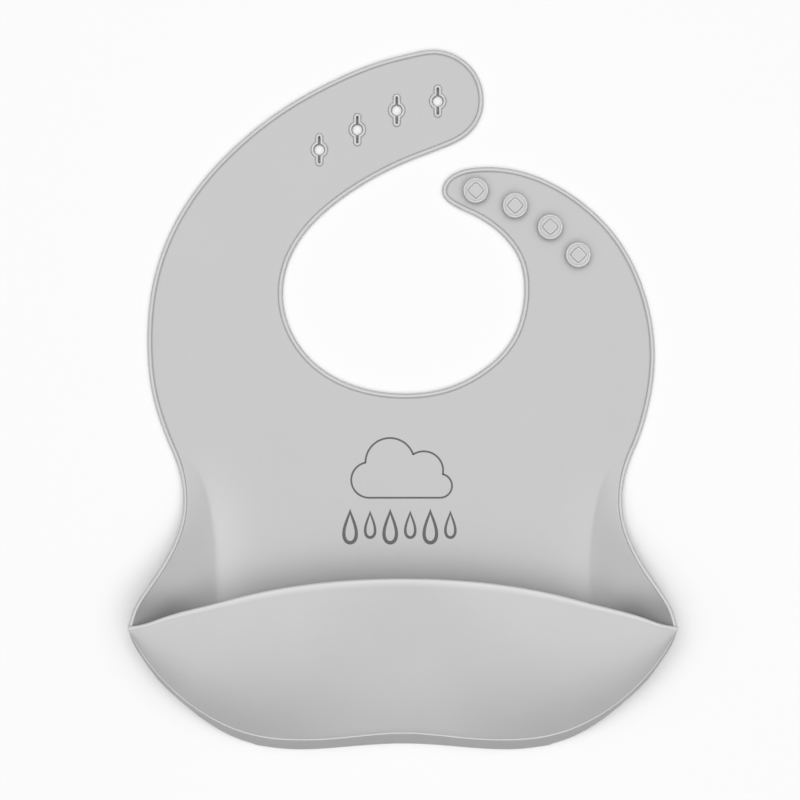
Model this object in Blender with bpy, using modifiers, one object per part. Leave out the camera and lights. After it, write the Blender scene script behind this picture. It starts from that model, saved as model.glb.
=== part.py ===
"""Silicone baby bib with a catch pouch, lying on its back.

Metres, +Z up. The bib lies on the plane Z = 0 with the collar towards +Y and the pouch towards -Y,
and the origin is the bottom centre of its box. It is one silicone moulding, divided here at the
lines where it bends: stiff panels, the flex strips between them, and the details moulded on them.
"""

import math

import bmesh
import bpy
import numpy as np
from mathutils import Matrix

MM = 0.001

# Driving sizes, in millimetres.
SHEET = 1.8               # thickness of the sheet
RIM_HEIGHT = 2.6          # raised bead round the sheet's edge
RIM_WIDTH = 2.1
RIM_SLOPE = 0.2           # width of the slope from the bead down to the flat top
GAP = 0.3                 # clearance between neighbouring pieces
CREASE_GAP = 0.9          # the wing leans in over its crease, so it starts further out
EDGE_STEP = 5.0           # spacing of the points along the outline

# The sheet's edge, right half, from the bottom centre up to the waist: x, y and height of its
# underside. It lies flat under the pouch, rises to the pouch's corner and comes down at the waist.
SKIRT_EDGE = [
    (0, -147.5, 0), (28, -149.2, 0), (45, -150, 0), (57.5, -149, 0), (70.5, -145.5, 1),
    (84.5, -137.5, 5), (95.5, -128, 10), (104, -119.5, 14.5), (111, -110.5, 18.5), (115.3, -102.5, 21.5),
    (116.4, -96.5, 22.3),
]
WING_EDGE = [
    (116.4, -96.5, 22.3), (114.3, -89, 20.5), (109.5, -80.5, 17.5), (101.7, -68.5, 13), (96, -56, 8),
    (94, -43.5, 4), (96, -30.5, 1.2), (98, -25, 0),
]
# The flat outline above the waist: outer right shoulder, stud strap, neck, slot strap, left shoulder.
COLLAR_EDGE = [
    (101, -17.5), (106, 0), (108, 18.5), (105.5, 39.5), (100, 55.5), (91.5, 70), (79.5, 82.5),
    (65.5, 92), (50, 98), (32.5, 99.5), (24, 97.8), (18, 93.2), (17, 88.2), (21.8, 83.2), (29.5, 79.5),
    (41, 72), (50, 60), (52, 43), (47, 26), (35.5, 13.5), (19, 5), (0, 2.5), (-21, 6), (-36.5, 14.5),
    (-47, 27.5), (-51.5, 44), (-48.5, 60.5), (-39, 75), (-26.5, 86), (-12.5, 95), (3, 102.5),
    (18.5, 108.5), (27, 113), (33, 120.5), (34.5, 130), (31, 140.5), (24, 147), (14, 150), (3.5, 148.5),
    (-6.5, 146), (-30.5, 136.5), (-52.5, 124), (-72.5, 108), (-89.5, 89), (-101, 69), (-107.5, 48),
    (-109.5, 25.5), (-107.5, 3), (-101, -17.5),
]
# Creases where the sheet starts to rise into the wings, right side, top to bottom.
CREASE = [(96, -25.3), (86.5, -33.5), (82, -46.5), (80, -60), (79, -86), (76, -115), (69, -138), (61, -147)]
# Pouch front wall, right half, centre to corner: its lip, and the ridge where it meets the bottom wall.
LIP = [
    (0, -76.6, 27.5), (35, -78.3, 27.3), (68.5, -84.2, 26.8), (92, -90.2, 26.4), (102, -93.2, 26.2),
    (114.5, -96.5, 26),
]
RIDGE = [
    (0, -142, 12), (28, -144.3, 11.5), (45, -145, 11), (60, -143.7, 11), (72.5, -140, 12),
    (81, -135.7, 13.5), (92.5, -127.5, 17), (102, -118.5, 20), (110, -109, 23), (115, -99.5, 25.8),
]
WALL_BULGE = 3.0          # how far the front wall bows out between lip and ridge
WING_BOW = 1.5            # exponent of the wing's rise: above 1 it starts flatter at the crease
LIP_RADIUS = 1.1
BOTTOM_REACH = 105.0      # the bottom wall runs this far out towards each corner
POUCH_FLEX = 0.9          # share of the front wall above its flex strip
WING_TOP = -24.0          # where the wings start to part from the flat sheet

# Fold lines. The strap folds are radial lines through the middle of the neck opening.
NECK = (0.5, 45.0)
WAIST_Y = -9.0
WAIST_FLEX = 9.0
SLOT_FOLDS = (172.5, 142.0, 113.0)     # degrees, shoulder to tip
STUD_FOLDS = (0.0, 31.6)
FLEX_HALF = (3.5, 3.2)                 # half width in degrees at a shoulder, and nearer the tip
GAP_ANGLE = 0.12
REACH = (30.0, 150.0)     # radii inside and outside every strap
STRAP_RADIUS = 80.0       # about the middle of the straps' width
# The last region of each strap stays clear of the other strap. Radii where it starts, and its far
# corners as radius and degrees.
SLOT_TIP = ((48.0, 150.0), [(150.0, 64.0), (70.0, 64.0)])
STUD_TIP = ((30.0, 95.0), [(60.0, 73.5), (30.0, 80.0)])

# Studs and the keyhole slots that take them.
STUDS = [(31.2, 89.4), (48.0, 83.0), (63.0, 73.8), (75.0, 61.9)]
SLOTS = [(-35.8, 107.1), (-19.5, 115.7), (-2.6, 124.0), (15.0, 127.9)]
STEM_RADIUS = 2.2
HEAD_RADIUS = 5.5
HEAD_LIFT = 2.6           # free height under the head
HEAD_HEIGHT = 2.2
HEAD_SOFTENING = 0.7      # how far its edges are cut back
DIAMOND = 3.5             # half diagonal of the raised diamond on the head
DIAMOND_HEIGHT = 0.5
SLOT_RADIUS = 2.35
SLOT_HALF_LENGTH = 5.75
SLIT_HALF_WIDTH = 0.55
SLOT_LIP_WIDTH = 1.1      # raised lip round a slot
SLOT_LIP_HEIGHT = 2.7

SILICONE = (0.56, 0.56, 0.56, 1.0)
FLEX_SHADE, WALL_SHADE, DETAIL_SHADE = 0.9, 0.95, 1.05


# ---------------------------------------------------------------- scene, collections, materials

def clear_scene():
    for old in list(bpy.data.objects):
        bpy.data.objects.remove(old, do_unlink=True)


def new_collection(name):
    collection = bpy.data.collections.new(name)
    bpy.context.scene.collection.children.link(collection)
    return collection


def silicone(name, shade=1.0):
    """Matte grey silicone, its colour scaled by `shade`."""
    material = bpy.data.materials.new(name + "_silicone")
    material.use_nodes = True
    shader = material.node_tree.nodes["Principled BSDF"]
    shader.inputs["Base Color"].default_value = [c * shade for c in SILICONE[:3]] + [1.0]
    shader.inputs["Roughness"].default_value = 0.55
    shader.inputs["Metallic"].default_value = 0.0
    return material


def add_object(name, mesh, collection, shade=1.0):
    obj = bpy.data.objects.new(name, mesh)
    collection.objects.link(obj)
    if collection is CUTTERS:
        obj.hide_render = True
        obj.display_type = "WIRE"
    else:
        mesh.materials.append(silicone(name, shade))
    return obj


def hang_on(obj, pivot):
    """Parent to a pivot empty and stay in place."""
    obj.parent = pivot
    obj.matrix_parent_inverse = Matrix.Translation(-pivot.location)


def add_pivot(name, x, y, z):
    pivot = bpy.data.objects.new(name, None)
    pivot.empty_display_size = 0.01
    pivot.location = (x * MM, y * MM, z * MM)
    PARTS.objects.link(pivot)
    return pivot


# ---------------------------------------------------------------- curves

def smooth_path(points, step=EDGE_STEP, closed=False):
    """Points about `step` apart on a cubic spline through the given points."""
    knots = np.array(points, float)
    count = len(knots)
    ends = np.roll(knots, -1, axis=0)
    chord = np.linalg.norm(ends - knots, axis=1)
    slope = (ends - knots) / chord[:, None]
    system = np.eye(count)
    bend = np.zeros_like(knots)
    inner = range(count) if closed else range(1, count - 1)
    for i in inner:
        before, after = chord[i - 1], chord[i]
        system[i, i] = 2 * (before + after)
        system[i, i - 1] = before
        system[i, (i + 1) % count] = after
        bend[i] = 6 * (slope[i] - slope[i - 1])
    bend = np.linalg.solve(system, bend)
    path = []
    for i in range(count if closed else count - 1):
        j = (i + 1) % count
        length = chord[i]
        for k in range(max(1, round(length / step))):
            t = length * k / max(1, round(length / step))
            rest = length - t
            path.append((bend[i] * rest ** 3 + bend[j] * t ** 3) / (6 * length)
                        + (knots[i] / length - bend[i] * length / 6) * rest
                        + (knots[j] / length - bend[j] * length / 6) * t)
    if not closed:
        path.append(knots[-1])
    return np.array(path)


def spread(path, count):
    """The path again with `count` points at even distances."""
    length = np.r_[0, np.cumsum(np.linalg.norm(np.diff(path, axis=0), axis=1))]
    places = np.linspace(0, length[-1], count)
    return np.stack([np.interp(places, length, axis) for axis in path.T], axis=1)


def both_sides(half):
    """A right-half path that starts at the centre, mirrored into one left-to-right path."""
    return np.vstack([half[:0:-1] * [-1, 1, 1], half])


def polar(radius, degrees):
    """A plan point at this distance and direction from the middle of the neck."""
    angle = math.radians(degrees)
    return NECK[0] + radius * math.cos(angle), NECK[1] + radius * math.sin(angle)


# ---------------------------------------------------------------- solids

def prism(outline, low, high):
    """A bmesh: the flat outline, filled and extruded from height `low` to `high`."""
    bm = bmesh.new()
    ring = [bm.verts.new((p[0] * MM, p[1] * MM, low * MM)) for p in outline]
    face = bm.faces.new(ring)
    face.normal_update()
    if face.normal.z > 0:
        face.normal_flip()
    top = bmesh.ops.extrude_face_region(bm, geom=[face], use_keep_orig=True)
    lifted = [g for g in top["geom"] if isinstance(g, bmesh.types.BMVert)]
    bmesh.ops.translate(bm, verts=lifted, vec=(0, 0, (high - low) * MM))
    bmesh.ops.recalc_face_normals(bm, faces=bm.faces)
    return bm


def to_mesh(bm, name):
    mesh = bpy.data.meshes.new(name)
    bm.to_mesh(mesh)
    bm.free()
    return mesh


def cutter(name, outline, low=-5.0, high=10.0):
    return add_object(name, to_mesh(prism(outline, low, high), name), CUTTERS)


def boolean(obj, other, operation):
    modifier = obj.modifiers.new(other.name, "BOOLEAN")
    modifier.operation = operation
    modifier.solver = "EXACT"
    modifier.object = other


def sheet_outline():
    """The whole flat outline of the sheet, one closed loop seen from above."""
    right = SKIRT_EDGE[:-1] + WING_EDGE[:-1]
    left = [(-x, y) for x, y, _ in reversed(right) if x]
    return smooth_path([(x, y) for x, y, _ in right] + COLLAR_EDGE + left, closed=True)


def rimmed_sheet():
    """The sheet with its raised bead: a plate whose top is inset and sunk inside the bead."""
    bm = prism(sheet_outline(), 0.0, RIM_HEIGHT)
    top = max(bm.faces, key=lambda f: f.calc_center_median().z if abs(f.normal.z) > 0.9 else -1)
    bmesh.ops.inset_individual(bm, faces=[top], thickness=RIM_WIDTH * MM, use_even_offset=True)
    bmesh.ops.inset_individual(bm, faces=[top], thickness=RIM_SLOPE * MM, use_even_offset=True,
                               depth=(SHEET - RIM_HEIGHT) * MM)
    return to_mesh(bm, "rimmed_sheet")


def keyhole(centre, grow=0.0):
    """Outline of a keyhole slot: a round hole with a narrow slit above and below it."""
    radius = SLOT_RADIUS + grow
    slit = SLIT_HALF_WIDTH + grow
    reach = SLOT_HALF_LENGTH + grow
    throat = math.asin(slit / radius)
    outline = []
    for turn in (0.0, math.pi):
        for angle in np.linspace(throat - math.pi / 2, math.pi / 2 - throat, 9):
            outline.append((math.cos(angle + turn) * radius, math.sin(angle + turn) * radius))
        for angle in np.linspace(turn, turn + math.pi, 7):
            end = (reach - slit) * (1 if turn == 0 else -1)
            outline.append((math.cos(angle) * slit, math.sin(angle) * slit + end))
    return [(x + centre[0], y + centre[1]) for x, y in outline]


def loft(name, rows, thickness, shade=1.0):
    """A shell on a grid of points, thickened behind the side its faces point to."""
    bm = bmesh.new()
    grid = [[bm.verts.new(tuple(point * MM)) for point in row] for row in rows]
    for low, high in zip(grid, grid[1:]):
        for a, b, c, d in zip(low, low[1:], high[1:], high):
            bm.faces.new((a, b, c, d))
    shell = add_object(name, to_mesh(bm, name), PARTS, shade)
    solid = shell.modifiers.new("wall", "SOLIDIFY")
    solid.thickness = thickness * MM
    solid.offset = -1.0
    solid.use_even_offset = True
    return shell


# ---------------------------------------------------------------- the flat sheet and its straps

def sector(near, far):
    """Corners, as radius and degrees, of a region right across a strap between two directions."""
    return [(REACH[0], near), (REACH[1], near), (REACH[1], far), (REACH[0], far)]


def strap_regions():
    """Plan outlines that part the sheet, by node name. Corners are (radius, degrees) about NECK."""
    wide, narrow = FLEX_HALF
    regions = {}
    for side, folds, turn in (("slot", SLOT_FOLDS, -1), ("stud", STUD_FOLDS, 1)):
        for k, fold in enumerate(folds):
            half = wide if k == 0 else narrow
            near, far = fold - turn * half, fold + turn * half
            regions[f"{side}_strap_flex_{k + 1}"] = sector(near, far)
            start = far + turn * GAP_ANGLE
            if k + 1 < len(folds):
                stop = folds[k + 1] - turn * (narrow + GAP_ANGLE)
                regions[f"{side}_strap_segment_{k + 1}"] = sector(start, stop)
            else:
                radii, corners = SLOT_TIP if side == "slot" else STUD_TIP
                regions[f"{side}_strap_tip"] = [(radius, start) for radius in radii] + corners
    return {name: [polar(*corner) for corner in corners] for name, corners in regions.items()}


def panel_regions():
    top = WAIST_Y + WAIST_FLEX / 2
    low = WAIST_Y - WAIST_FLEX / 2
    wide = REACH[1]
    left = polar(wide, SLOT_FOLDS[0] + FLEX_HALF[0] + GAP_ANGLE)
    right = polar(wide, STUD_FOLDS[0] - FLEX_HALF[0] - GAP_ANGLE)
    crease = smooth_path(CREASE)
    past_end = (crease[-1][0] - 3, -REACH[1] - 5)
    side = [(wide, low - GAP), (wide, WING_TOP), (crease[0][0], WING_TOP), *map(tuple, crease), past_end]
    return {
        "chest_panel": [(-wide, top + GAP), (wide, top + GAP), right, NECK, left],
        "waist_flex": [(-wide, low), (wide, low), (wide, top), (-wide, top)],
        "back_panel": side + [(-x, y) for x, y in reversed(side)],
    }


def cut_sheet():
    """Each flat piece is the rimmed sheet inside its own region."""
    pieces = {}
    sheet = rimmed_sheet()
    for name, outline in {**panel_regions(), **strap_regions()}.items():
        shade = FLEX_SHADE if "flex" in name else 1.0
        pieces[name] = add_object(name, sheet.copy(), PARTS, shade)
        boolean(pieces[name], cutter(name + "_region", outline), "INTERSECT")
    return pieces


# ---------------------------------------------------------------- wings and pouch

def wing_rows(columns=22, across=7):
    """Grid of the right wing's underside, from the crease out to the sheet's edge."""
    edge = SKIRT_EDGE[4:] + WING_EDGE[1:]
    edge = spread(smooth_path(list(reversed(edge))), columns)
    crease = spread(smooth_path([(x + CREASE_GAP, y, 0) for x, y in CREASE]), columns)
    rows = []
    for u in np.linspace(0, 1, across):
        row = crease + (edge - crease) * u
        row[:, 2] = edge[:, 2] * u ** WING_BOW
        rows.append(row)
    return rows


def make_wings():
    rows = wing_rows()
    loft("right_wing", rows[::-1], SHEET, WALL_SHADE)
    loft("left_wing", [row * [-1, 1, 1] for row in rows], SHEET, WALL_SHADE)


def wall_rows(count, start, stop, start_gap=0.0, stop_gap=0.0, columns=41):
    """Grid of the front wall's outer face from share `start` to `stop` of the way down from the lip.

    Each end is drawn back by its gap, in millimetres along the wall.
    """
    half = columns // 2 + 1
    lip = both_sides(spread(smooth_path(LIP), half))
    ridge = both_sides(spread(smooth_path(RIDGE), half))
    depth = np.linalg.norm(ridge - lip, axis=1)
    fullness = 1 - np.linspace(-1, 1, len(lip)) ** 2
    rows = []
    for part in np.linspace(0, 1, count):
        share = (start + start_gap / depth) * (1 - part) + (stop - stop_gap / depth) * part
        row = lip + (ridge - lip) * share[:, None]
        row[:, 2] += WALL_BULGE * np.sin(math.pi * share) * fullness
        rows.append(row)
    return rows


def plan_inset(path, distance):
    """The left-to-right path moved level, square to its own line, towards the bib's middle."""
    run = np.gradient(path[:, :2], axis=0)
    run /= np.linalg.norm(run, axis=1)[:, None]
    moved = path.copy()
    moved[:, 0] -= run[:, 1] * distance
    moved[:, 1] += run[:, 0] * distance
    return moved


def make_bottom_wall(columns=35):
    """An upright band that follows the sheet's edge, from the sheet up to just under the ridge."""
    half = columns // 2 + 1
    ridge, edge = smooth_path(RIDGE), smooth_path(SKIRT_EDGE)
    ridge = both_sides(spread(ridge[ridge[:, 0] < BOTTOM_REACH], half))
    edge = both_sides(spread(edge[edge[:, 0] < BOTTOM_REACH], half))
    over_bead = np.abs(edge[:, 0]) < CREASE[-1][0] + EDGE_STEP
    edge[:, 2] += GAP + np.where(over_bead, RIM_HEIGHT, SHEET)
    ridge[:, 2] -= GAP + SHEET
    rows = [edge, ridge, plan_inset(ridge, SHEET), plan_inset(edge, SHEET)]
    bm = bmesh.new()
    sections = [[bm.verts.new(tuple(row[k] * MM)) for row in rows] for k in range(len(edge))]
    for near, far in zip(sections, sections[1:]):
        for i in range(4):
            j = (i + 1) % 4
            bm.faces.new((near[i], far[i], far[j], near[j]))
    bm.faces.new(sections[0])
    bm.faces.new(sections[-1][::-1])
    bmesh.ops.recalc_face_normals(bm, faces=bm.faces)
    return add_object("pouch_bottom_wall", to_mesh(bm, "pouch_bottom_wall"), PARTS, WALL_SHADE)


def make_pouch(hinge):
    wall = wall_rows(9, 0.0, POUCH_FLEX, LIP_RADIUS + 2 * GAP, GAP)
    hang_on(loft("pouch_front_wall", wall[::-1], SHEET), hinge)
    loft("pouch_flex", wall_rows(3, POUCH_FLEX, 1.0)[::-1], SHEET, FLEX_SHADE)
    make_bottom_wall()
    hang_on(make_lip(), hinge)


def make_lip():
    """The rounded bead along the top of the front wall."""
    path = both_sides(spread(smooth_path(LIP), 24)) - [0, 0, SHEET / 2]
    curve = bpy.data.curves.new("pouch_lip", "CURVE")
    curve.dimensions = "3D"
    curve.bevel_depth = LIP_RADIUS * MM
    curve.bevel_resolution = 2
    curve.use_fill_caps = True
    spline = curve.splines.new("POLY")
    spline.points.add(len(path) - 1)
    for point, place in zip(spline.points, path):
        point.co = (*(place * MM), 1.0)
    lip = bpy.data.objects.new("pouch_lip", curve)
    curve.materials.append(silicone("pouch_lip", DETAIL_SHADE))
    PARTS.objects.link(lip)
    return lip


# ---------------------------------------------------------------- studs and slots

def turned(name, profile, collection):
    """A solid of revolution about Z; the profile runs from the top of the axis to its foot."""
    mesh = bpy.data.meshes.new(name)
    points = [(r * MM, 0, z * MM) for r, z in profile]
    mesh.from_pydata(points, [(i, i + 1) for i in range(len(points) - 1)], [])
    obj = add_object(name, mesh, collection, DETAIL_SHADE)
    screw = obj.modifiers.new("turn", "SCREW")
    screw.steps = 28
    screw.render_steps = 28
    screw.use_merge_vertices = True
    screw.merge_threshold = 0.00001
    return obj


def make_stud(name, centre, pivot):
    """A mushroom stud: a stem, a round head with softened edges, and a raised diamond."""
    foot = SHEET + GAP
    under = SHEET + HEAD_LIFT
    top = under + HEAD_HEIGHT
    soft = HEAD_SOFTENING
    profile = [(0, top), (HEAD_RADIUS - soft, top), (HEAD_RADIUS, top - soft), (HEAD_RADIUS, under + soft),
               (HEAD_RADIUS - soft, under), (STEM_RADIUS, under), (STEM_RADIUS, foot), (0, foot)]
    stud = turned(name, profile, PARTS)
    stud.location = (centre[0] * MM, centre[1] * MM, 0)
    tips = [(DIAMOND, 0), (0, DIAMOND), (-DIAMOND, 0), (0, -DIAMOND)]
    outline = [(x + centre[0], y + centre[1]) for x, y in tips]
    boolean(stud, cutter(name + "_diamond", outline, top - 0.5, top + DIAMOND_HEIGHT), "UNION")
    hang_on(stud, pivot)


def make_slot(name, centre, strap, pivot):
    """A raised lip round a keyhole slot, let into its strap."""
    mesh = to_mesh(prism(keyhole(centre, SLOT_LIP_WIDTH), 0.0, SLOT_LIP_HEIGHT), name)
    rim = add_object(name, mesh, PARTS, DETAIL_SHADE)
    boolean(rim, cutter(name + "_hole", keyhole(centre)), "DIFFERENCE")
    boolean(strap, cutter(name + "_seat", keyhole(centre, SLOT_LIP_WIDTH + GAP)), "DIFFERENCE")
    hang_on(rim, pivot)


# ---------------------------------------------------------------- assembly

def strap_pivots(side, folds):
    """One pivot on each fold line, at the middle of the strap's width and thickness."""
    return [add_pivot(f"{side}_fold_{k + 1}", *polar(STRAP_RADIUS, fold), SHEET / 2) for k, fold in enumerate(folds)]


def build():
    pieces = cut_sheet()
    make_wings()
    make_pouch(add_pivot("pouch_hinge", 0, -142, 12))
    waist = add_pivot("waist_hinge", 0, WAIST_Y, SHEET / 2)
    hang_on(pieces["chest_panel"], waist)
    slot_pivots = strap_pivots("slot", SLOT_FOLDS)
    stud_pivots = strap_pivots("stud", STUD_FOLDS)
    slot_pieces = ["slot_strap_segment_1", "slot_strap_segment_2", "slot_strap_tip"]
    for name, pivot in zip(slot_pieces, slot_pivots):
        hang_on(pieces[name], pivot)
    for name, pivot in zip(["stud_strap_segment_1", "stud_strap_tip"], stud_pivots):
        hang_on(pieces[name], pivot)
    for k, centre in enumerate(SLOTS):
        link = 1 if k == 0 else 2
        make_slot(f"slot_rim_{k + 1}", centre, pieces[slot_pieces[link]], slot_pivots[link])
    for k, centre in enumerate(STUDS):
        make_stud(f"fastening_stud_{k + 1}", centre, stud_pivots[1 if k < 2 else 0])


clear_scene()
PARTS = new_collection("silicone_bib")
CUTTERS = new_collection("cutters")
build()
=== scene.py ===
"""Looks of the silicone bib: one soft grey moulding with a catch pouch, studs and keyhole slots.

The sheet is built as one closed skin, then parted at lines that lie between the folds, so that no
part holds more than one fold. Sizes are in millimetres until a mesh is made.
"""

import math

import bmesh
import bpy
import numpy as np
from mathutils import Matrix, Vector
from mathutils.geometry import delaunay_2d_cdt


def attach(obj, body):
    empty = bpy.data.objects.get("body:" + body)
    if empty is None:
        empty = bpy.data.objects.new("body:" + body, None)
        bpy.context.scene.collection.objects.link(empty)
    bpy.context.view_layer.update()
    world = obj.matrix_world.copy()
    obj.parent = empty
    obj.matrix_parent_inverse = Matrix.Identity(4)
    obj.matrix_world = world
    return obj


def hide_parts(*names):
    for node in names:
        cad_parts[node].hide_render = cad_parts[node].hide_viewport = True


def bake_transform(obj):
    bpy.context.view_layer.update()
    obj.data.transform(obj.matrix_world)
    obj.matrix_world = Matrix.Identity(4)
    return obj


MM = 0.001
SHEET = 1.8               # thickness of the sheet
BED = 2.6                 # inset of the loop where the bead has run out into the flat sheet
STEP = 1.6                # spacing of points along the outline
MESH_STEP = 2.6           # spacing of points inside it
FOLD_STEP = 1.3           # the same where the sheet folds
FOLD_MARGIN = 3           # how far the finer mesh runs past the waist's fold
FOLD_SECTOR = 5           # and to either side of a strap's fold line, in degrees
CREASE_BAND = 4.5         # and to either side of a wing's crease

# The sheet's edge, right half, from the bottom centre up to the waist: x, y and height.
SKIRT_EDGE = [
    (0, -147.5, 0), (28, -149.2, 0), (45, -150, 0), (57.5, -149, 0), (70.5, -145.5, 1),
    (84.5, -137.5, 5), (95.5, -128, 10), (103.6, -119.5, 14.5), (109.8, -110.5, 18.5), (114.3, -102.5, 21.3),
    (116.4, -96.5, 22.3),
]
WING_EDGE = [
    (116.4, -96.5, 22.3), (114.3, -89, 20.5), (109.5, -80.5, 17.5), (101.7, -68.5, 13), (96, -56, 8),
    (94, -43.5, 4), (96, -30.5, 1.3), (99.8, -20.5, 0),
]
# The flat outline above the waist: outer right shoulder, stud strap, neck, slot strap, left shoulder.
COLLAR_EDGE = [
    (101, -17.5), (106, 0), (108, 18.5), (105.5, 39.5), (100, 55.5), (91.5, 70), (79.5, 82.5),
    (65.5, 92), (50, 98), (32.5, 99.5), (24, 97.8), (18, 93.2), (17, 88.2), (21.8, 83.2), (29.5, 79.5),
    (41, 72), (50, 60), (52, 43), (47, 26), (35.5, 13.5), (19, 5), (0, 2.5), (-21, 6), (-36.5, 14.5),
    (-47, 27.5), (-51.5, 44), (-48.5, 60.5), (-39, 75), (-26.5, 86), (-12.5, 95), (3, 102.5),
    (18.5, 108.5), (27, 113), (33, 120.5), (34.5, 130), (31, 140.5), (24, 147), (14, 150), (3.5, 148.5),
    (-6.5, 146), (-30.5, 136.5), (-52.5, 124), (-72.5, 108), (-89.5, 89), (-101, 69), (-107.5, 48),
    (-109.5, 25.5), (-107.5, 3), (-101, -17.5),
]
# Where the right side folds up into a wing, from the outline down to the bottom edge.
CREASE = [
    (97.8, -20.9), (88.8, -28), (84.3, -37.5), (82, -47.5), (80, -60), (79, -86), (76, -115), (69, -138),
    (57.3, -148.9),
]
CREASE_SOFT = 0.09        # how far along a wing its crease is rounded
OVERHANG = 1.4            # a wing's slope is followed this far past its edge
# The pouch's lip and its moulded ridge, right half, from the middle to the corner: x, y and height.
LIP = [
    (0, -76.6, 27.5), (35, -78.3, 27.3), (68.5, -84.2, 26.8), (80, -87.2, 26.6), (92, -90.2, 26.4),
    (102, -93.2, 26.2), (109, -95.6, 25.9), (115.4, -96.9, 25.1),
]
RIDGE = [
    (0, -142, 12), (28, -144.3, 11.5), (45, -145, 11), (60, -143.7, 11), (72.5, -140, 12),
    (81, -135.7, 13.5), (92.5, -127.5, 17), (101.6, -118.5, 20), (108.9, -109, 23), (114.8, -98.9, 24.7),
]
WALL_CROWN = (1.15, 2.8)  # how much the front wall rounds off towards the ridge: middle, corners
CROWN_PLACES = (8, 78)    # the crown grows between these distances from the middle
RIDGE_ROUND = 0.9         # the ridge is rounded over this distance on either side
BOTTOM_ROWS = 10          # rows of faces up the bottom wall
FRONT_ROWS = 30           # and up the front wall
LIP_RADIUS = 1.1
LIP_RAISE = 0.2           # how far the lip's round stands above the wall, in radii
LIP_TURN = (-15, 195)     # the round goes from the outer face to the inner one, in degrees

# Tone is 0.5 on plain surfaces; above it is painted light and below it painted shade.
PLAIN_TONE = 0.5
CREASE_HIGHLIGHT = (0.24, 0.085)    # how much highlight is painted inside the left and right creases
HIGHLIGHT_REACH = 14           # how far inside them the painted highlight reaches
WING_TONE = 0.21          # how much light is painted on a wing outside its crease, lifting the shade of its slope
CORNER_TONE = 0.46        # how much shade is painted deep in the pouch's corners
CORNER_FADE = ((82, 102), (-74, -91))     # the painted shade grows between these x and these y
BOTTOM_TONE = 0.38        # painted shade makes the pouch's bottom wall a little darker than the sheet
FRONT_TONES = (0.42, 0.585)               # and its front wall has painted shade by the ridge and painted light from halfway up

# The moulding line along the ridge: place round the turn, how far it stands out, and tone. It runs out
# over the last columns of points at the pouch's corners.
# Its tones paint a highlight on the line and shade in the grooves beside it.
PARTING_LINE = [
    (0, 0, 0.5), (0.14, -0.12, 0.44), (0.26, -0.3, 0.38), (0.36, -0.14, 0.43), (0.44, 0.18, 0.7),
    (0.5, 0.28, 1), (0.56, 0.24, 1), (0.64, 0.0, 0.6), (0.74, -0.18, 0.4), (0.86, -0.06, 0.46),
]
PARTING_TAPER = 8

# Across the edge, from the flat top round the raised bead to the flat underside: inset, height and tone.
# The tones paint a highlight over the bead's top and outer side, and shade in the groove inside it.
BEAD = [
    (BED, 1.8, 0.5), (2.35, 1.78, 0.48), (2.12, 1.67, 0.47), (1.98, 1.75, 0.47), (1.84, 2.1, 0.5),
    (1.6, 2.45, 0.72), (1.2, 2.6, 0.83), (0.75, 2.56, 0.83), (0.4, 2.34, 0.83), (0.14, 1.95, 0.83),
    (0, 1.35, 0.83), (0.04, 0.75, 0.6), (0.2, 0.32, 0.5), (0.45, 0.08, 0.5), (0.8, 0, 0.5), (BED, 0, 0.5),
]
# The same number of points for the slimmer bead along a wing.
# Its tones paint a stronger highlight on the bead and the same shade in its groove.
WING_BEAD = [
    (BED, 1.8, 0.5), (1.9, 1.8, 0.5), (1.55, 1.77, 0.48), (1.38, 1.7, 0.45), (1.26, 1.84, 0.47),
    (1.1, 2.18, 0.8), (0.85, 2.4, 1), (0.55, 2.42, 1), (0.3, 2.26, 1), (0.1, 1.9, 1),
    (0, 1.35, 1), (0.04, 0.75, 0.8), (0.2, 0.32, 0.5), (0.45, 0.08, 0.5), (0.8, 0, 0.5), (BED, 0, 0.5),
]
# The same number for the plain edge that the pouch stands on.
PLAIN = [
    (BED, 1.8, 0.5), (2.35, 1.8, 0.5), (2.12, 1.8, 0.5), (1.98, 1.8, 0.5), (1.84, 1.8, 0.5),
    (1.6, 1.78, 0.5), (1.2, 1.72, 0.5), (0.75, 1.6, 0.5), (0.4, 1.4, 0.5), (0.14, 1.15, 0.5),
    (0, 0.9, 0.5), (0.04, 0.6, 0.5), (0.2, 0.28, 0.5), (0.45, 0.08, 0.5), (0.8, 0, 0.5), (BED, 0, 0.5),
]
TOP_ROWS = 4              # the first rows lie on the sheet's top and share its tones
BEAD_FADE = (-4.0, 2.0)   # the bead grows between these distances past the pouch's corner
WING_FADE = 25            # and is slim from this far below a wing's upper end

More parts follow.
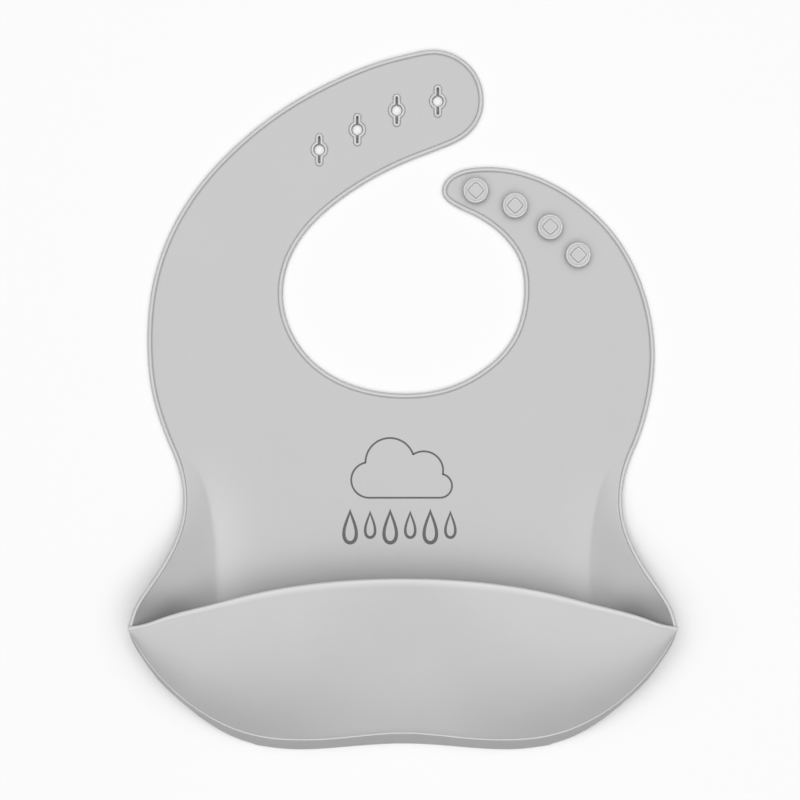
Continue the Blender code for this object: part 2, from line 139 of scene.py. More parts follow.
# A stud from its foot up the stem and over the head: radius, height over the sheet, how far the
# round has turned into a diamond, and tone.
# The tones paint highlights on the head's rim and the diamond's edge and a lighter top, and shade at the
# foot, round the head's side and in the groove round the diamond.
STUD_PROFILE = [
    (3.6, -0.1, 0, 0.48), (3.1, 0.12, 0, 0.48), (2.6, 0.5, 0, 0.5), (2.3, 1.1, 0, 0.5), (2.2, 1.9, 0, 0.5),
    (2.4, 2.45, 0, 0.5), (3.0, 2.6, 0, 0.5), (4.5, 2.65, 0, 0.5), (5.1, 2.85, 0, 0.48), (5.42, 3.3, 0, 0.46),
    (5.5, 3.8, 0, 0.46), (5.42, 4.3, 0, 0.5), (5.25, 4.62, 0, 0.9), (5.0, 4.8, 0, 1), (4.72, 4.82, 0, 0.95),
    (4.5, 4.72, 0, 0.64), (4.35, 4.58, 0, 0.58), (4.1, 4.52, 0, 0.6), (4.0, 4.52, 0.6, 0.62),
    (3.62, 4.5, 1, 0.57), (3.5, 4.3, 1, 0.38), (3.34, 4.3, 1, 0.38), (3.22, 4.72, 1, 0.46), (3.06, 5.0, 1, 1),
    (2.8, 5.1, 1, 1), (2.5, 5.08, 1, 0.66), (2.2, 5.02, 1, 0.58), (1.6, 5.0, 1, 0.58), (0.7, 5.0, 1, 0.58),
]
STUD_SIDES = 56
DIAMOND_POWER = 1.16      # 1 gives straight sides, 2 a circle
STUDS = [(31.2, 89.4), (48.0, 83.0), (63.0, 73.8), (75.0, 61.9)]
SLOTS = [(-35.8, 107.1), (-19.5, 115.7), (-2.6, 124.0), (15.0, 127.9)]
SLOT_RADIUS = 2.35
SLOT_HALF_LENGTH = 5.75
SLIT_HALF_WIDTH = 0.36
HOLE_POINTS = 15          # on each side of the round hole
SLIT_POINTS = 9           # round each end of the slit
# Across a slot's raised lip, from the flat top into the hole and out below: distance, height, tone.
# The tones paint a highlight on the lip and shade down the hole's sides and just outside the lip.
SLOT_LIP = [
    (1.9, 1.8, 0.5), (1.6, 1.79, 0.49), (1.4, 1.69, 0.46), (1.28, 1.82, 0.46), (1.16, 2.3, 0.55),
    (0.98, 2.66, 1), (0.7, 2.8, 1), (0.42, 2.78, 1), (0.18, 2.6, 0.85), (0.04, 2.2, 0.35), (0, 1.7, 0),
    (-0.14, 1.1, 0), (-0.24, 0.8, 0), (-0.24, 0.5, 0), (-0.05, 0.2, 0.2), (0.3, 0, 0.5), (1.9, 0, 0.5),
]

# The straps fold along lines through the middle of the neck, given in degrees.
NECK = (0.5, 45.0)
STRAP_INNER = 40          # the straps lie farther out than this
STRAP_RADIUS = 78         # the middle of a strap
SLOT_FOLDS = (172.5, 142.0, 113.0)
STUD_FOLDS = (0.0, 31.6)
PARTINGS = (186.0, 157.0, 127.5, -12.0, 18.0)     # the skins part along these lines
WAIST = (-13.5, -4.5)     # the waist bends between these

# The printed motif.
CLOUD_LINE = 0.8          # width of the cloud's outline
INK = (-0.02, 0.03)       # where the ink lies, from the sheet's top
# The cloud's round tops and the round ends of its flat base: centre, radius, first and last angle.
CLOUD_ARCS = [
    ((-14.5, -34.5), 7.6, 270, 101.4), ((-5.5, -27.0), 10.5, 180, 19.2),
    ((9.0, -30.5), 8.3, 123.4, -10.6), ((16.0, -37.0), 5.1, 76.9, -90),
]
# Large and small drops in turn: half height, and the height on the sheet of their middles.
DROPS = [(7.8, -54.4), (6.2, -53.6)] * 3
FIRST_DROP = -22.6
DROP_STEP = 8.6
DROP_OUTER = (0.62, 1.0)  # width and height of a drop's outer edge, as shares of its half height
DROP_INNER = (0.36, 0.74)
DROP_SINK = 0.06          # how much lower the inner edge lies, the same way


# ---------------------------------------------------------------- curves

def smooth_path(points, step):
    """Points about `step` apart on a natural cubic spline through the given points."""
    knots = np.array(points, float)
    count = len(knots)
    chord = np.linalg.norm(np.diff(knots, axis=0), axis=1)
    slope = np.diff(knots, axis=0) / chord[:, None]
    system = np.eye(count)
    bend = np.zeros_like(knots)
    for i in range(1, count - 1):
        system[i, i - 1:i + 2] = chord[i - 1], 2 * (chord[i - 1] + chord[i]), chord[i]
        bend[i] = 6 * (slope[i] - slope[i - 1])
    bend = np.linalg.solve(system, bend)
    path = []
    for i, length in enumerate(chord):
        pieces = max(1, round(length / step))
        for t in np.arange(pieces) * length / pieces:
            rest = length - t
            path.append((bend[i] * rest ** 3 + bend[i + 1] * t ** 3) / (6 * length)
                        + (knots[i] / length - bend[i] * length / 6) * rest
                        + (knots[i + 1] / length - bend[i + 1] * length / 6) * t)
    path.append(knots[-1])
    return np.array(path)


def spread(path, count):
    """The path again with `count` points at even distances."""
    length = np.r_[0, np.cumsum(np.linalg.norm(np.diff(path, axis=0), axis=1))]
    places = np.linspace(0, length[-1], count)
    return np.stack([np.interp(places, length, axis) for axis in path.T], axis=1)


def whole(half, step=1.0):
    """The curve through a right half and its mirror image, left to right."""
    half = np.array(half, float)
    return smooth_path(np.vstack([half[:0:-1] * ([-1] + [1] * (half.shape[1] - 1)), half]), step)


def smoothstep(t):
    t = np.clip(t, 0, 1)
    return t * t * (3 - 2 * t)


def ramp(value, span):
    """0 at the first end of the span, 1 at the second, and smooth between."""
    return smoothstep((value - span[0]) / (span[1] - span[0]))


def polar(radius, degrees):
    """The plan point at a distance from the middle of the neck, in a direction."""
    angle = math.radians(degrees)
    return NECK[0] + radius * math.cos(angle), NECK[1] + radius * math.sin(angle)


def bearings(points):
    """Directions of plan points from the middle of the neck, in degrees, and their distances."""
    away = points - NECK
    return np.degrees(np.arctan2(away[:, 1], away[:, 0])), np.hypot(*away.T)


def turn_between(directions, degrees):
    """Angles between directions and another direction, the short way round."""
    return np.abs((directions - degrees + 180) % 360 - 180)


def inward(loop):
    """Unit normals to the left of a closed plan loop: into the sheet."""
    run = np.roll(loop, -1, axis=0) - np.roll(loop, 1, axis=0)
    run /= np.linalg.norm(run, axis=1)[:, None]
    return np.stack([-run[:, 1], run[:, 0]], axis=1)


def is_inside(points, loop):
    """Which plan points lie inside the closed loop."""
    x, y = points[:, 0], points[:, 1]
    hit = np.zeros(len(points), bool)
    for (ax, ay), (bx, by) in zip(loop, np.roll(loop, -1, axis=0)):
        if ay != by:
            cross = (bx - ax) * (y - ay) / (by - ay) + ax
            hit ^= ((ay > y) != (by > y)) & (x < cross)
    return hit


def keyhole(centre, grow):
    """Outline of a keyhole slot, `grow` outside the hole: a circle with a slit above and below."""
    radius, slit = SLOT_RADIUS + grow, SLIT_HALF_WIDTH + grow
    end = SLOT_HALF_LENGTH - SLIT_HALF_WIDTH
    throat = math.asin(slit / radius)
    halfway = (math.cos(throat) * radius + end) / 2
    side = np.linspace(throat - math.pi / 2, math.pi / 2 - throat, HOLE_POINTS)
    outline = []
    for sign, turn in ((1, 0.0), (-1, math.pi)):
        outline += [(math.cos(angle) * radius, math.sin(angle) * radius) for angle in side + turn]
        outline.append((slit * sign, halfway * sign))
        for angle in np.linspace(turn, turn + math.pi, SLIT_POINTS):
            outline.append((math.cos(angle) * slit, math.sin(angle) * slit + end * sign))
        outline.append((-slit * sign, halfway * sign))
    return np.array(outline) + centre


# ---------------------------------------------------------------- the sheet's surface

def wing_rulings(count=240):
    """Straight lines across the right wing: their feet on the crease and their ends on the edge."""
    edge = smooth_path((SKIRT_EDGE[3:] + WING_EDGE[1:])[::-1], 1.0)
    edge = edge[(edge[:, 0] > CREASE[-1][0] + 1) | (edge[:, 1] > CREASE[-1][1])]
    return spread(smooth_path(CREASE, 1.0), count), spread(edge, count)


RULINGS = wing_rulings()


def height(plan):
    """Height of the sheet's underside at plan points: it is flat but for the wings."""
    crease, edge = RULINGS
    out = np.zeros(len(plan))
    point = np.abs(plan[:, :1]), plan[:, 1:2]
    near = np.where((point[0][:, 0] > CREASE[-1][0] - 2) & (point[1][:, 0] < WING_EDGE[-1][1] + 2))[0]
    span = edge[:, :2] - crease
    for part in np.array_split(near, max(1, len(near) // 2000)):
        rx = point[0][part] - crease[:, 0]
        ry = point[1][part] - crease[:, 1]
        side = span[:, 0] * ry - span[:, 1] * rx
        reach = (rx * span[:, 0] + ry * span[:, 1]) / (span ** 2).sum(1)
        share = side[:, :-1] / (side[:, :-1] - side[:, 1:] + 1e-12)
        u = reach[:, :-1] * (1 - share) + reach[:, 1:] * share
        top = edge[:-1, 2] * (1 - share) + edge[1:, 2] * share
        good = (side[:, :-1] * side[:, 1:] <= 0) & (u > 0) & (u < OVERHANG)
        first = np.argmax(good, axis=1)
        row = np.arange(len(part))
        rise = np.hypot(u[row, first], CREASE_SOFT) - CREASE_SOFT
        rise *= np.maximum(top[row, first], 0) / (math.hypot(1, CREASE_SOFT) - CREASE_SOFT)
        out[part] = np.where(good.any(axis=1), rise, 0)
    return out


def on_sheet(plan, rise):
    """Points at the given distance above the sheet's underside, square to it."""
    step = 0.5
    base = height(plan)
    dx = (height(plan + [step, 0]) - height(plan - [step, 0])) / (2 * step)
    dy = (height(plan + [0, step]) - height(plan - [0, step])) / (2 * step)
    normal = np.stack([-dx, -dy, np.ones(len(plan))], axis=1)
    normal /= np.linalg.norm(normal, axis=1)[:, None]
    return np.column_stack([plan, base]) + normal * np.reshape(rise, (-1, 1))


def top_tone(plan):
    """Tone of the sheet's top: a painted highlight beside the creases, painted light on the wings outside
    them, and painted shade deep in the pouch's corners.
    """
    crease = RULINGS[0]
    tone = np.full(len(plan), PLAIN_TONE)
    upper_end = WING_EDGE[-1][1] + 15
    for number, (x, y) in enumerate(plan):
        highlight = CREASE_HIGHLIGHT[0] if x < 0 else CREASE_HIGHLIGHT[1]
        x = abs(x)
        if y < upper_end and x > 50:
            deep = ramp(x, CORNER_FADE[0]) * ramp(y, CORNER_FADE[1])
            away = np.hypot(*(crease - (x, y)).T)
            k = int(away.argmin())
            inside = away[k] if x < crease[k, 0] else -away[k]
            along = ramp(k, (0, 75)) * ramp(k, (len(crease), len(crease) - 100))
            # painted highlight just inside the crease
            tone[number] += highlight * along * math.exp(-(inside / HIGHLIGHT_REACH) ** 2) * ramp(inside, (-3, 3))
            # painted light on the wing outside the crease
            tone[number] += WING_TONE * ramp(k, (0, 60)) * ramp(inside, (0, -4)) * (1 - deep)
            # painted shade deep in the pouch's corner
            tone[number] -= CORNER_TONE * deep
    return tone


def sheet_outline():
    """The whole outline of the sheet, one closed loop seen from above, with the pouch's two corners."""
    right = [(x, y) for x, y, _ in WING_EDGE[:-1]]
    left = [(-x, y) for x, y in reversed(right)]
    lower = whole([(x, y) for x, y, _ in SKIRT_EDGE], STEP)
    upper = smooth_path(right + COLLAR_EDGE + left, STEP)
    return np.vstack([lower[:-1], upper[:-1]])


def cut_ends(outline):
    """Where the skins part: pairs of places on the outline, by their numbers along it."""
    low = [int(np.argmin(np.linalg.norm(outline - end, axis=1))) for end in (COLLAR_EDGE[0], COLLAR_EDGE[-1])]
    cuts = [tuple(low)]
    direction, radius = bearings(outline)
    for degrees in PARTINGS:
        off = turn_between(direction, degrees)
        close = off < 4
        middle = (radius[close].min() + radius[close].max()) / 2
        inner = np.where(close & (radius < middle), off, 99).argmin()
        outer = np.where(close & (radius > middle), off, 99).argmin()
        cuts.append((int(inner), int(outer)))
    return cuts


def lattice(low, high, step):
    """A triangular grid of plan points over a box."""
    rows = []
    for k, y in enumerate(np.arange(low[1], high[1], step * 0.866)):
        x = np.arange(low[0] + (k % 2) * step / 2, high[0], step)
        rows.append(np.column_stack([x, np.full(len(x), y)]))
    return np.vstack(rows)


def near_fold(points):
    """Which plan points lie near the waist's fold, a strap's fold or a wing's crease."""
    found = (points[:, 1] > WAIST[0] - FOLD_MARGIN) & (points[:, 1] < WAIST[1] + FOLD_MARGIN)
    direction, radius = bearings(points)
    for fold in SLOT_FOLDS + STUD_FOLDS:
        found |= (turn_between(direction, fold) < FOLD_SECTOR) & (radius > STRAP_INNER)
    mirrored = np.column_stack([np.abs(points[:, 0]), points[:, 1]])
    away = np.array([np.hypot(*(RULINGS[0][::8] - point).T).min() for point in mirrored])
    return found | ((away < CREASE_BAND) & (points[:, 1] < WING_EDGE[-1][1]))


def inner_points(loops, lines):
    """Grid points inside the sheet, closer where it folds, and clear of the loops and cut lines."""
    outer = loops[0]
    fixed = np.vstack(loops + lines)
    picked = []
    for step, fine in ((FOLD_STEP, True), (MESH_STEP, False)):
        grid = lattice(outer.min(0), outer.max(0), step)
        grid = grid[near_fold(grid) == fine]
        grid = grid[is_inside(grid, outer)]
        for loop in loops[1:]:
            grid = grid[~is_inside(grid, loop)]
        near = np.array([np.min(np.abs(fixed - p).max(1)) for p in grid])
        picked.append(grid[near > min(1.0, step / 2)])
    return np.vstack(picked)


def triangles(points, edges, outer, holes):
    """Triangles over the points that keep the given edges, inside `outer` and outside the holes."""
    made = delaunay_2d_cdt([Vector(p) for p in points], edges, [], 0, 1e-7)
    origin = [ids[0] for ids in made[3]]
    faces = np.array([[origin[v] for v in face] for face in made[2]])
    centre = points[faces].mean(1)
    keep = is_inside(centre, outer)
    for hole in holes:
        keep &= ~is_inside(centre, hole)
    return faces[keep]


def closed_edges(first, count):
    return [(first + i, first + (i + 1) % count) for i in range(count)]


def band_faces(grid, closed=True):
    """Four-sided faces of a band: grid[row][column] are vertex numbers, its columns closed in a loop."""
    faces = []
    for upper, lower in zip(grid, grid[1:]):
        ring = list(zip(upper, np.roll(upper, -1), np.roll(lower, -1), lower))
        faces += [tuple(int(v) for v in quad) for quad in (ring if closed else ring[:-1])]
    return faces


class Skin:
    """The whole sheet as one closed mesh, with the edges where it is to be parted."""

    def __init__(self):
        self.points = []
        self.tones = []
        self.faces = []
        self.cut_edges = set()
        self.caps = []

    def add(self, points, tone=PLAIN_TONE):
        """Adds points and their tones, and gives the points' numbers."""
        first = sum(len(block) for block in self.points)
        self.points.append(points)
        self.tones.append(np.broadcast_to(tone, len(points)))
        return np.arange(first, first + len(points))

    def add_edge(self, outline, shade):
        """The bead round the sheet, slimmer along the wings and gone under the pouch; its rows."""
        normals = inward(outline)
        y = outline[:, 1:]
        bead = ramp(y - SKIRT_EDGE[-1][1], BEAD_FADE)
        wing = ramp(y, (WING_EDGE[-1][1], WING_EDGE[-1][1] - WING_FADE))
        rows = []
        for k, (raised, slim, plain) in enumerate(zip(BEAD, WING_BEAD, PLAIN)):
            edge = (1 - wing) * raised + wing * slim
            inset, rise, tone = (bead * edge + (1 - bead) * plain).T
            # the top's painted light and shade carry onto the bead's first rows
            tone = tone + shade * (k < TOP_ROWS)
            rows.append(self.add(on_sheet(outline + normals * inset[:, None], rise), tone))
        self.faces += band_faces(rows)
        return rows

    def add_slot(self, centre):
        """The raised lip of a keyhole slot and the sides of its hole; their rows."""
        rows = [self.add(on_sheet(keyhole(centre, grow), rise), tone) for grow, rise, tone in SLOT_LIP]
        self.faces += band_faces(rows)
        return rows

    def build(self):
        outline = sheet_outline()
        inner = outline + inward(outline) * BED
        rows = self.add_edge(outline, top_tone(inner) - PLAIN_TONE)
        rims = [rows] + [self.add_slot(centre) for centre in SLOTS]
        loops = [inner] + [keyhole(centre, SLOT_LIP[0][0]) for centre in SLOTS]
        cuts = cut_ends(outline)
        lines = []
        for a, b in cuts:
            count = max(2, round(np.linalg.norm(inner[b] - inner[a]) / MESH_STEP))
            share = np.linspace(0, 1, count + 1)[1:-1, None]
            lines.append(inner[a] * (1 - share) + inner[b] * share)
        free = np.vstack(lines + [inner_points(loops, lines)])
        edges, first = [], 0
        for loop in loops:
            edges += closed_edges(first, len(loop))
            first += len(loop)
        chains = []
        for (a, b), line in zip(cuts, lines):
            chains.append([a, *range(first, first + len(line)), b])
            edges += list(zip(chains[-1], chains[-1][1:]))
            first += len(line)
        faces = triangles(np.vstack(loops + [free]), edges, inner, loops[1:])
        top = np.concatenate([rim[0] for rim in rims] + [self.add(on_sheet(free, SHEET), top_tone(free))])
        bottom = np.concatenate([rim[-1] for rim in rims] + [self.add(on_sheet(free, 0))])
        self.faces += [tuple(int(v) for v in face) for face in top[faces]]
        self.faces += [tuple(int(v) for v in face[::-1]) for face in bottom[faces]]
        for (a, b), chain in zip(cuts, chains):
            self.cut(rows, a, b, [int(top[v]) for v in chain], [int(bottom[v]) for v in chain])
        self.points = np.vstack(self.points)
        self.tones = np.concatenate(self.tones)

    def cut(self, rows, a, b, upper, lower):
        """Marks one cross-section as a cut, and keeps the faces that close it."""
        ends = [[int(row[k]) for row in rows] for k in (a, b)]
        for chain in (*ends, upper, lower):
            self.cut_edges |= {frozenset(pair) for pair in zip(chain, chain[1:])}
        caps = [tuple(end) for end in ends]
        caps += list(zip(upper, upper[1:], lower[1:], lower))
        self.caps.append(caps)

    def part(self, seeds):
        """Face lists of the parts between the cuts, each holding its seed, a plan point."""
        sides = {}
        for number, face in enumerate(self.faces):
            for edge in zip(face, face[1:] + face[:1]):
                sides.setdefault(frozenset(edge), []).append(number)
        centres = np.array([self.points[list(face), :2].mean(0) for face in self.faces])
        parts = {}
        for name, seed in seeds.items():
            start = int(np.linalg.norm(centres - seed, axis=1).argmin())
            found, waiting = {start}, [start]
            while waiting:
                face = self.faces[waiting.pop()]
                for edge in zip(face, face[1:] + face[:1]):
                    key = frozenset(edge)
                    if key not in self.cut_edges:
                        fresh = [n for n in sides[key] if n not in found]
                        found.update(fresh)
                        waiting += fresh
            faces = [self.faces[n] for n in found]
            used = {v for face in faces for v in face}
            faces += [cap for caps in self.caps for cap in caps if all(v in used for v in cap)]
            parts[name] = faces
        return parts


# ---------------------------------------------------------------- making objects

def make_object(name, points, tones, faces, material, sharp=55):
    """A smooth-shaded closed mesh, from points in millimetres, their tones, and faces that number them."""
    used = sorted({v for face in faces for v in face})
    place = {v: i for i, v in enumerate(used)}
    mesh = bpy.data.meshes.new(name)
    mesh.from_pydata([tuple(points[v] * MM) for v in used], [], [[place[v] for v in f] for f in faces])
    bm = bmesh.new()
    bm.from_mesh(mesh)
    bmesh.ops.recalc_face_normals(bm, faces=bm.faces)
    bm.to_mesh(mesh)
    bm.free()
    tone = mesh.attributes.new("tone", "FLOAT", "POINT")
    tone.data.foreach_set("value", np.asarray(tones, np.float32)[used])
    mesh.shade_smooth()
    mesh.set_sharp_from_angle(angle=math.radians(sharp))
    mesh.materials.append(material)
    obj = bpy.data.objects.new(name, mesh)
    bpy.context.scene.collection.objects.link(obj)
    return obj


def bend_at(obj):
    """Bakes a strap skin's placement into its mesh."""
    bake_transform(obj)


def make_sheet_skins(material):
    skin = Skin()
    skin.build()
    seeds = {
        "bib_back_skin": (0, LIP[0][1]), "bib_waist_skin": (0, sum(WAIST) / 2),
        "slot_shoulder_skin": polar(STRAP_RADIUS, SLOT_FOLDS[0]),
        "slot_middle_skin": polar(STRAP_RADIUS, SLOT_FOLDS[1]),
        "slot_end_skin": polar(STRAP_RADIUS, SLOT_FOLDS[2]),
        "stud_shoulder_skin": polar(STRAP_RADIUS, STUD_FOLDS[0]),
        "stud_end_skin": polar(STRAP_RADIUS, STUD_FOLDS[1]),
    }
    skins = {}
    for name, faces in skin.part(seeds).items():
        skins[name] = make_object(name, skin.points, skin.tones, faces, material)
    back = skins["bib_back_skin"]
    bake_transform(back)
    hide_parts("back_panel", "left_wing", "right_wing")
    waist = skins["bib_waist_skin"]
    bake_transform(waist)
    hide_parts("waist_flex", "chest_panel")
    bend_at(skins["slot_shoulder_skin"])
    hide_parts("slot_strap_flex_1", "slot_strap_segment_1")
    bend_at(skins["slot_middle_skin"])
    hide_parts("slot_strap_flex_2", "slot_strap_segment_2")
    bend_at(skins["slot_end_skin"])
    rims = [f"slot_rim_{k + 1}" for k in range(len(SLOTS))]
    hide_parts("slot_strap_flex_3", "slot_strap_tip", *rims)
    bend_at(skins["stud_shoulder_skin"])
    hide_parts("stud_strap_flex_1", "stud_strap_segment_1")
    bend_at(skins["stud_end_skin"])
    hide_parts("stud_strap_flex_2", "stud_strap_tip")


# ---------------------------------------------------------------- pouch

def surface_normals(grid):
    """Unit normals of a grid of points [row, column]."""
    across = np.gradient(grid, axis=1)
    along = np.gradient(grid, axis=0)
    normal = np.cross(across, along)
    return normal / np.maximum(np.linalg.norm(normal, axis=2), 1e-9)[..., None]


def pouch_outer(columns=241):
    """Outer face of the pouch, [row, column], with its tones: up the bottom wall, over the moulding
    line on the ridge, and up the front wall."""
    foot = on_sheet(spread(whole(SKIRT_EDGE), columns)[:, :2], SHEET / 2)
    ridge = spread(whole(RIDGE), columns)
    lip = spread(whole(LIP), columns)
    wall = np.linalg.norm(lip - ridge, axis=1)[:, None]
    base = np.linalg.norm(foot - ridge, axis=1)[:, None]
    size = np.minimum(RIDGE_ROUND, np.minimum(wall, base) / 4)
    low = ridge + (foot - ridge) / base * size
    high = ridge + (lip - ridge) / wall * size
    out = ridge - (low + high) / 2
    out /= np.linalg.norm(out, axis=1)[:, None]
    place = np.arange(columns)
    taper = ramp(np.minimum(place, place[::-1]), (0, PARTING_TAPER))[:, None]
    rows = [foot * (1 - t) + low * t for t in np.linspace(0, 1, BOTTOM_ROWS + 1)[:-1]]
    # painted shade up the bottom wall
    tones = [BOTTOM_TONE] * len(rows)
    # painted highlight and shade over the moulding line
    for t, rib, tone in PARTING_LINE:
        turned = low * (1 - t) ** 2 + ridge * 2 * t * (1 - t) + high * t ** 2
        rows.append(turned + out * size * rib * taper)
        tones.append(tone)
    crown = WALL_CROWN[0] + (WALL_CROWN[1] - WALL_CROWN[0]) * ramp(np.abs(ridge[:, :1]), CROWN_PLACES)
    # painted shade by the ridge, painted light higher up the front wall
    for t in np.linspace(0, 1, FRONT_ROWS):
        row = high + (lip - high) * t
        row[:, 2:] = high[:, 2:] + (lip - high)[:, 2:] * (1 - (1 - t) ** crown)
        rows.append(row)
        tones.append(FRONT_TONES[0] + (FRONT_TONES[1] - FRONT_TONES[0]) * float(ramp(t, (0, 0.5))))
    return np.array(rows), tones


def make_pouch(material):
    outer, tones = pouch_outer()
    normal = surface_normals(outer)
    if normal[len(outer) // 2, outer.shape[1] // 2, 2] < 0:
        normal = -normal
    inner = outer - normal * SHEET
    along = outer[-1] - outer[-2]
    along /= np.linalg.norm(along, axis=1)[:, None]
    middle = (outer[-1] + inner[-1]) / 2
    bulb = []
    for angle in np.radians(np.linspace(*LIP_TURN, 11)):
        turned = normal[-1] * math.cos(angle) + along * (math.sin(angle) + LIP_RAISE)
        bulb.append(middle + LIP_RADIUS * turned)
    rows = np.concatenate([outer[:-1], np.array(bulb), inner[:-1][::-1]])
    # a painted highlight along the lip's round; the inner face stays plain
    tones = tones[:-1] + [1.0] * len(bulb) + [PLAIN_TONE] * (len(inner) - 1)
    count, columns = rows.shape[:2]
    numbers = np.arange(count * columns).reshape(count, columns)
    faces = band_faces(np.vstack([numbers, numbers[:1]]), closed=False)
    faces += [tuple(int(v) for v in numbers[:, 0]), tuple(int(v) for v in numbers[::-1, -1])]
    tones = np.repeat(tones, columns)
    pouch = make_object("pouch_skin", rows.reshape(-1, 3), tones, faces, material)
    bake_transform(pouch)
    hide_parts("pouch_bottom_wall", "pouch_flex", "pouch_front_wall", "pouch_lip")


# ---------------------------------------------------------------- studs

def make_stud(number, centre, body, material):
    """A mushroom stud with a soft edge and a raised diamond."""
    angle = np.linspace(0, 2 * math.pi, STUD_SIDES, endpoint=False)
    spans = np.abs(np.cos(angle)) ** DIAMOND_POWER + np.abs(np.sin(angle)) ** DIAMOND_POWER
    diamond = spans ** (-1 / DIAMOND_POWER)
    rows, tones = [], []
    for radius, z, share, tone in STUD_PROFILE:
        reach = radius * (1 - share + diamond * share)
        rows.append(np.column_stack([reach * np.cos(angle), reach * np.sin(angle), np.full(STUD_SIDES, z)]))
        tones += [tone] * STUD_SIDES
    numbers = np.arange(len(tones)).reshape(len(rows), STUD_SIDES)
    faces = band_faces(numbers)
    faces += [tuple(int(v) for v in numbers[0][::-1]), tuple(int(v) for v in numbers[-1])]
    points = np.vstack(rows) + [centre[0], centre[1], SHEET]
    stud = make_object(f"stud_{number}", points, tones, faces, material, 60)
    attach(stud, body)
    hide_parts(f"fastening_stud_{number}")


# ---------------------------------------------------------------- printed motif

def ink_ring(outer, inner):
    """A thin ring of ink between two closed plan loops: its points and faces."""
    low, high = SHEET + INK[0], SHEET + INK[1]
    rows = [np.column_stack([loop, np.full(len(loop), z)])
            for loop, z in ((outer, low), (outer, high), (inner, high), (inner, low))]
    numbers = np.arange(4 * len(outer)).reshape(4, len(outer))
    return np.vstack(rows), band_faces(np.vstack([numbers, numbers[:1]]))


def arc(centre, radius, start, stop, step=0.7):
    """Points along an arc between two angles in degrees, about `step` apart."""
    count = max(3, int(abs(math.radians(stop - start)) * radius / step))
    angle = np.radians(np.linspace(start, stop, count))
    return np.column_stack([centre[0] + radius * np.cos(angle), centre[1] + radius * np.sin(angle)])


def cloud_path():
    """A plain cloud: round tops on a flat base with round ends."""
    return np.vstack([arc(*part) for part in CLOUD_ARCS])


def drop_path(centre, width, height):
    """A raindrop, its point up."""
    angle = np.linspace(0, 2 * math.pi, 36, endpoint=False)
    x = width * np.sin(angle) * np.sin(angle / 2) ** 1.5
    return np.column_stack([centre[0] + x, centre[1] + height * np.cos(angle)])


def make_print(material):
    cloud = cloud_path()
    half = inward(cloud) * CLOUD_LINE / 2
    parts = [ink_ring(cloud - half, cloud + half)]
    for k, (size, y) in enumerate(DROPS):
        x = FIRST_DROP + DROP_STEP * k
        outer = drop_path((x, y), DROP_OUTER[0] * size, DROP_OUTER[1] * size)
        inner = drop_path((x, y - DROP_SINK * size), DROP_INNER[0] * size, DROP_INNER[1] * size)
        parts.append(ink_ring(outer, inner))
    points, faces = [], []
    first = 0
    for part, sides in parts:
        points.append(part)
        faces += [tuple(v + first for v in face) for face in sides]
        first += len(part)
    points = np.vstack(points)
    tones = np.full(len(points), PLAIN_TONE)
    motif = make_object("printed_motif", points, tones, faces, material, 30)
    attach(motif, "back")


# ---------------------------------------------------------------- materials

def node(tree, kind, **values):
    """A new node with its properties and the constants on its sockets."""
    made = tree.nodes.new(kind)
    for name, value in values.items():
        if hasattr(made, name):
            setattr(made, name, value)
        else:
            made.inputs[name.replace("_", " ")].default_value = value
    return made


def colour_ramp(tree, *stops):
    """A colour ramp through positions and colours; a single number stands for a grey."""
    made = node(tree, "ShaderNodeValToRGB")
    elements = made.color_ramp.elements
    while len(elements) < len(stops):
        elements.new(0.5)
    for element, (position, colour) in zip(elements, stops):
        element.position = position
        element.color = (*np.broadcast_to(colour, 3), 1)
    return made


def multiply(tree, first, second, share):
    """The first colour, multiplied by the second as far as `share` says."""
    made = node(tree, "ShaderNodeMix", data_type="RGBA", blend_type="MULTIPLY")
    made.inputs["Factor"].default_value = share
    tree.links.new(first, made.inputs["A"])
    tree.links.new(second, made.inputs["B"])
    return made.outputs["Result"]


def new_material(name):
    """A material, its node tree and its shader."""
    material = bpy.data.materials.new(name)
    material.use_nodes = True
    return material, material.node_tree, material.node_tree.nodes["Principled BSDF"]


def silicone():
    """Matte grey silicone: soft sheen, a fine moulded grain, faint clouding, and light and shade painted into
    its colour from the tone attribute.
    """
    material, tree, shader = new_material("matte_silicone")
    link = tree.links.new
    place = node(tree, "ShaderNodeTexCoord").outputs["Object"]
    clouds = node(tree, "ShaderNodeTexNoise", Scale=26.0, Detail=3.0, Roughness=0.5)
    grain = node(tree, "ShaderNodeTexNoise", Scale=1900.0, Detail=2.0, Roughness=0.6)
    link(place, clouds.inputs["Vector"])
    link(place, grain.inputs["Vector"])
    clouding = colour_ramp(tree, (0.3, 0.377), (0.7, 0.396))
    link(clouds.outputs["Fac"], clouding.inputs["Fac"])
    speckled = multiply(tree, clouding.outputs["Color"], grain.outputs["Fac"], 0.05)
    # The tone attribute paints light and shade into the base colour: darker below 0.5, lighter above.
    tone = node(tree, "ShaderNodeAttribute", attribute_name="tone")
    painted_shading = colour_ramp(tree, (0, 0.55), (0.5, 0.87), (1, 1.14))
    link(tone.outputs["Fac"], painted_shading.inputs["Fac"])
    link(multiply(tree, speckled, painted_shading.outputs["Color"], 1), shader.inputs["Base Color"])
    rough = node(tree, "ShaderNodeMapRange", To_Min=0.42, To_Max=0.52)
    link(clouds.outputs["Fac"], rough.inputs["Value"])
    link(rough.outputs["Result"], shader.inputs["Roughness"])
    bump = node(tree, "ShaderNodeBump", Strength=0.12, Distance=0.0002)
    link(grain.outputs["Fac"], bump.inputs["Height"])
    link(bump.outputs["Normal"], shader.inputs["Normal"])
    shader.inputs["IOR"].default_value = 1.43
    shader.inputs["Sheen Weight"].default_value = 0.08
    shader.inputs["Sheen Roughness"].default_value = 0.4
    return material


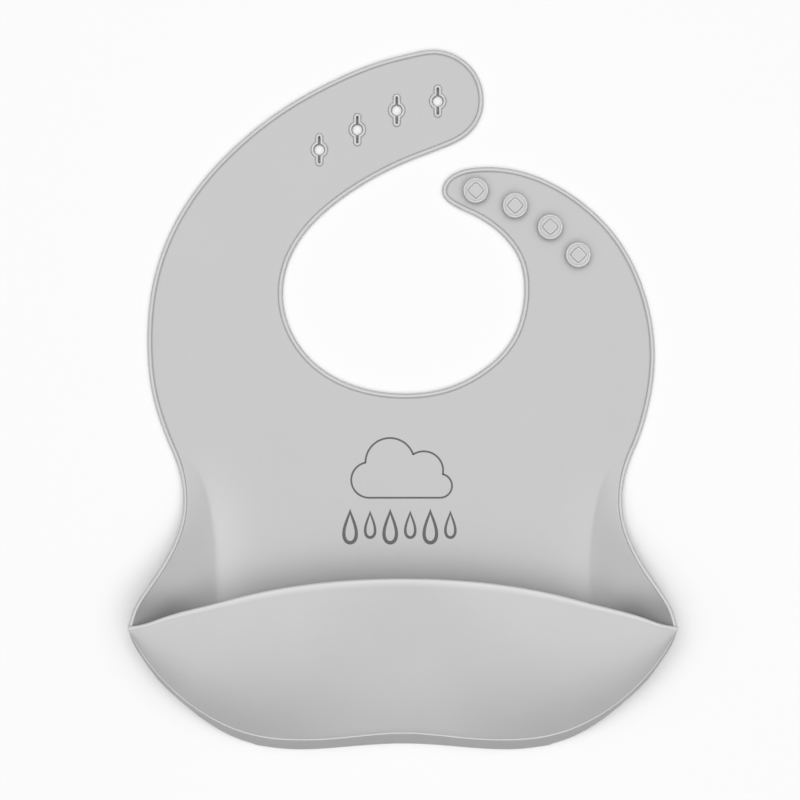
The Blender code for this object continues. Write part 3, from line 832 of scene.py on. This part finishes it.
def ink():
    """Dark grey printed ink, slightly uneven."""
    material, tree, shader = new_material("grey_ink")
    mottle = node(tree, "ShaderNodeTexNoise", Scale=900.0, Detail=2.0)
    tree.links.new(node(tree, "ShaderNodeTexCoord").outputs["Object"], mottle.inputs["Vector"])
    tone = colour_ramp(tree, (0, (0.04, 0.04, 0.042)), (1, (0.062, 0.062, 0.065)))
    tree.links.new(mottle.outputs["Fac"], tone.inputs["Fac"])
    tree.links.new(tone.outputs["Color"], shader.inputs["Base Color"])
    shader.inputs["Roughness"].default_value = 0.6
    return material


# ---------------------------------------------------------------- floor, light, camera

def make_floor():
    """A pale floor, 4 m to each side and just under the bib."""
    material, _, shader = new_material("pale_floor")
    shader.inputs["Base Color"].default_value = (0.63, 0.63, 0.63, 1)
    shader.inputs["Roughness"].default_value = 0.9
    shader.inputs["Specular IOR Level"].default_value = 0.1
    corners = [(-4, -4, 0), (4, -4, 0), (4, 4, 0), (-4, 4, 0)]
    mesh = bpy.data.meshes.new("floor")
    mesh.from_pydata(corners, [], [(0, 1, 2, 3)])
    mesh.materials.append(material)
    floor = bpy.data.objects.new("floor", mesh)
    floor.location.z = -0.0002
    bpy.context.scene.collection.objects.link(floor)


def area_light(name, place, size, power):
    """A round light that faces the middle of the bib."""
    data = bpy.data.lights.new(name, "AREA")
    data.shape = "DISK"
    data.size = size
    data.energy = power
    light = bpy.data.objects.new(name, data)
    light.location = place
    light.rotation_euler = (-Vector(place)).to_track_quat("-Z", "Y").to_euler()
    bpy.context.scene.collection.objects.link(light)


def make_studio():
    """A white dome that is brightest overhead, two soft lights, and a camera that looks straight down."""
    world = bpy.data.worlds.new("studio")
    world.use_nodes = True
    tree = world.node_tree
    background = tree.nodes["Background"]
    background.inputs["Strength"].default_value = 1.42
    parts = node(tree, "ShaderNodeSeparateXYZ")
    tree.links.new(node(tree, "ShaderNodeTexCoord").outputs["Generated"], parts.inputs["Vector"])
    dome = colour_ramp(tree, (0, 0.12), (0.45, 0.15), (0.64, 0.32), (0.8, 0.8), (0.92, 1.6), (1, 2.1))
    tree.links.new(parts.outputs["Z"], dome.inputs["Fac"])
    tree.links.new(dome.outputs["Color"], background.inputs["Color"])
    bpy.context.scene.world = world
    area_light("key", (-0.15, 0.35, 1.9), 1.2, 14)
    area_light("side", (0.4, -0.6, 1.7), 1.0, 6)
    camera = bpy.data.cameras.new("camera")
    camera.lens = 131
    camera.sensor_width = 36
    camera.clip_start = 0.01
    holder = bpy.data.objects.new("camera", camera)
    holder.location = (-0.0012, -0.0002, 1.25)
    bpy.context.scene.collection.objects.link(holder)
    bpy.context.scene.camera = holder
    bpy.context.scene.view_settings.view_transform = "Standard"


# ---------------------------------------------------------------- build

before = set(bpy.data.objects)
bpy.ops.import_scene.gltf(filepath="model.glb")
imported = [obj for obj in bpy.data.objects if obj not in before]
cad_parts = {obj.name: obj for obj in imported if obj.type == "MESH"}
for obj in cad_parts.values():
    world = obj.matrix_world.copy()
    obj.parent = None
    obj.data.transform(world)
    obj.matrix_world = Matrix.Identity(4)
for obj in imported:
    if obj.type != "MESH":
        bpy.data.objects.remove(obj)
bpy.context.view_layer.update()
grey = silicone()
make_sheet_skins(grey)
make_pouch(grey)
for k, place in enumerate(STUDS):
    make_stud(k + 1, place, "stud_strap_end" if k < 2 else "stud_strap_base", grey)
make_print(ink())
make_floor()
make_studio()
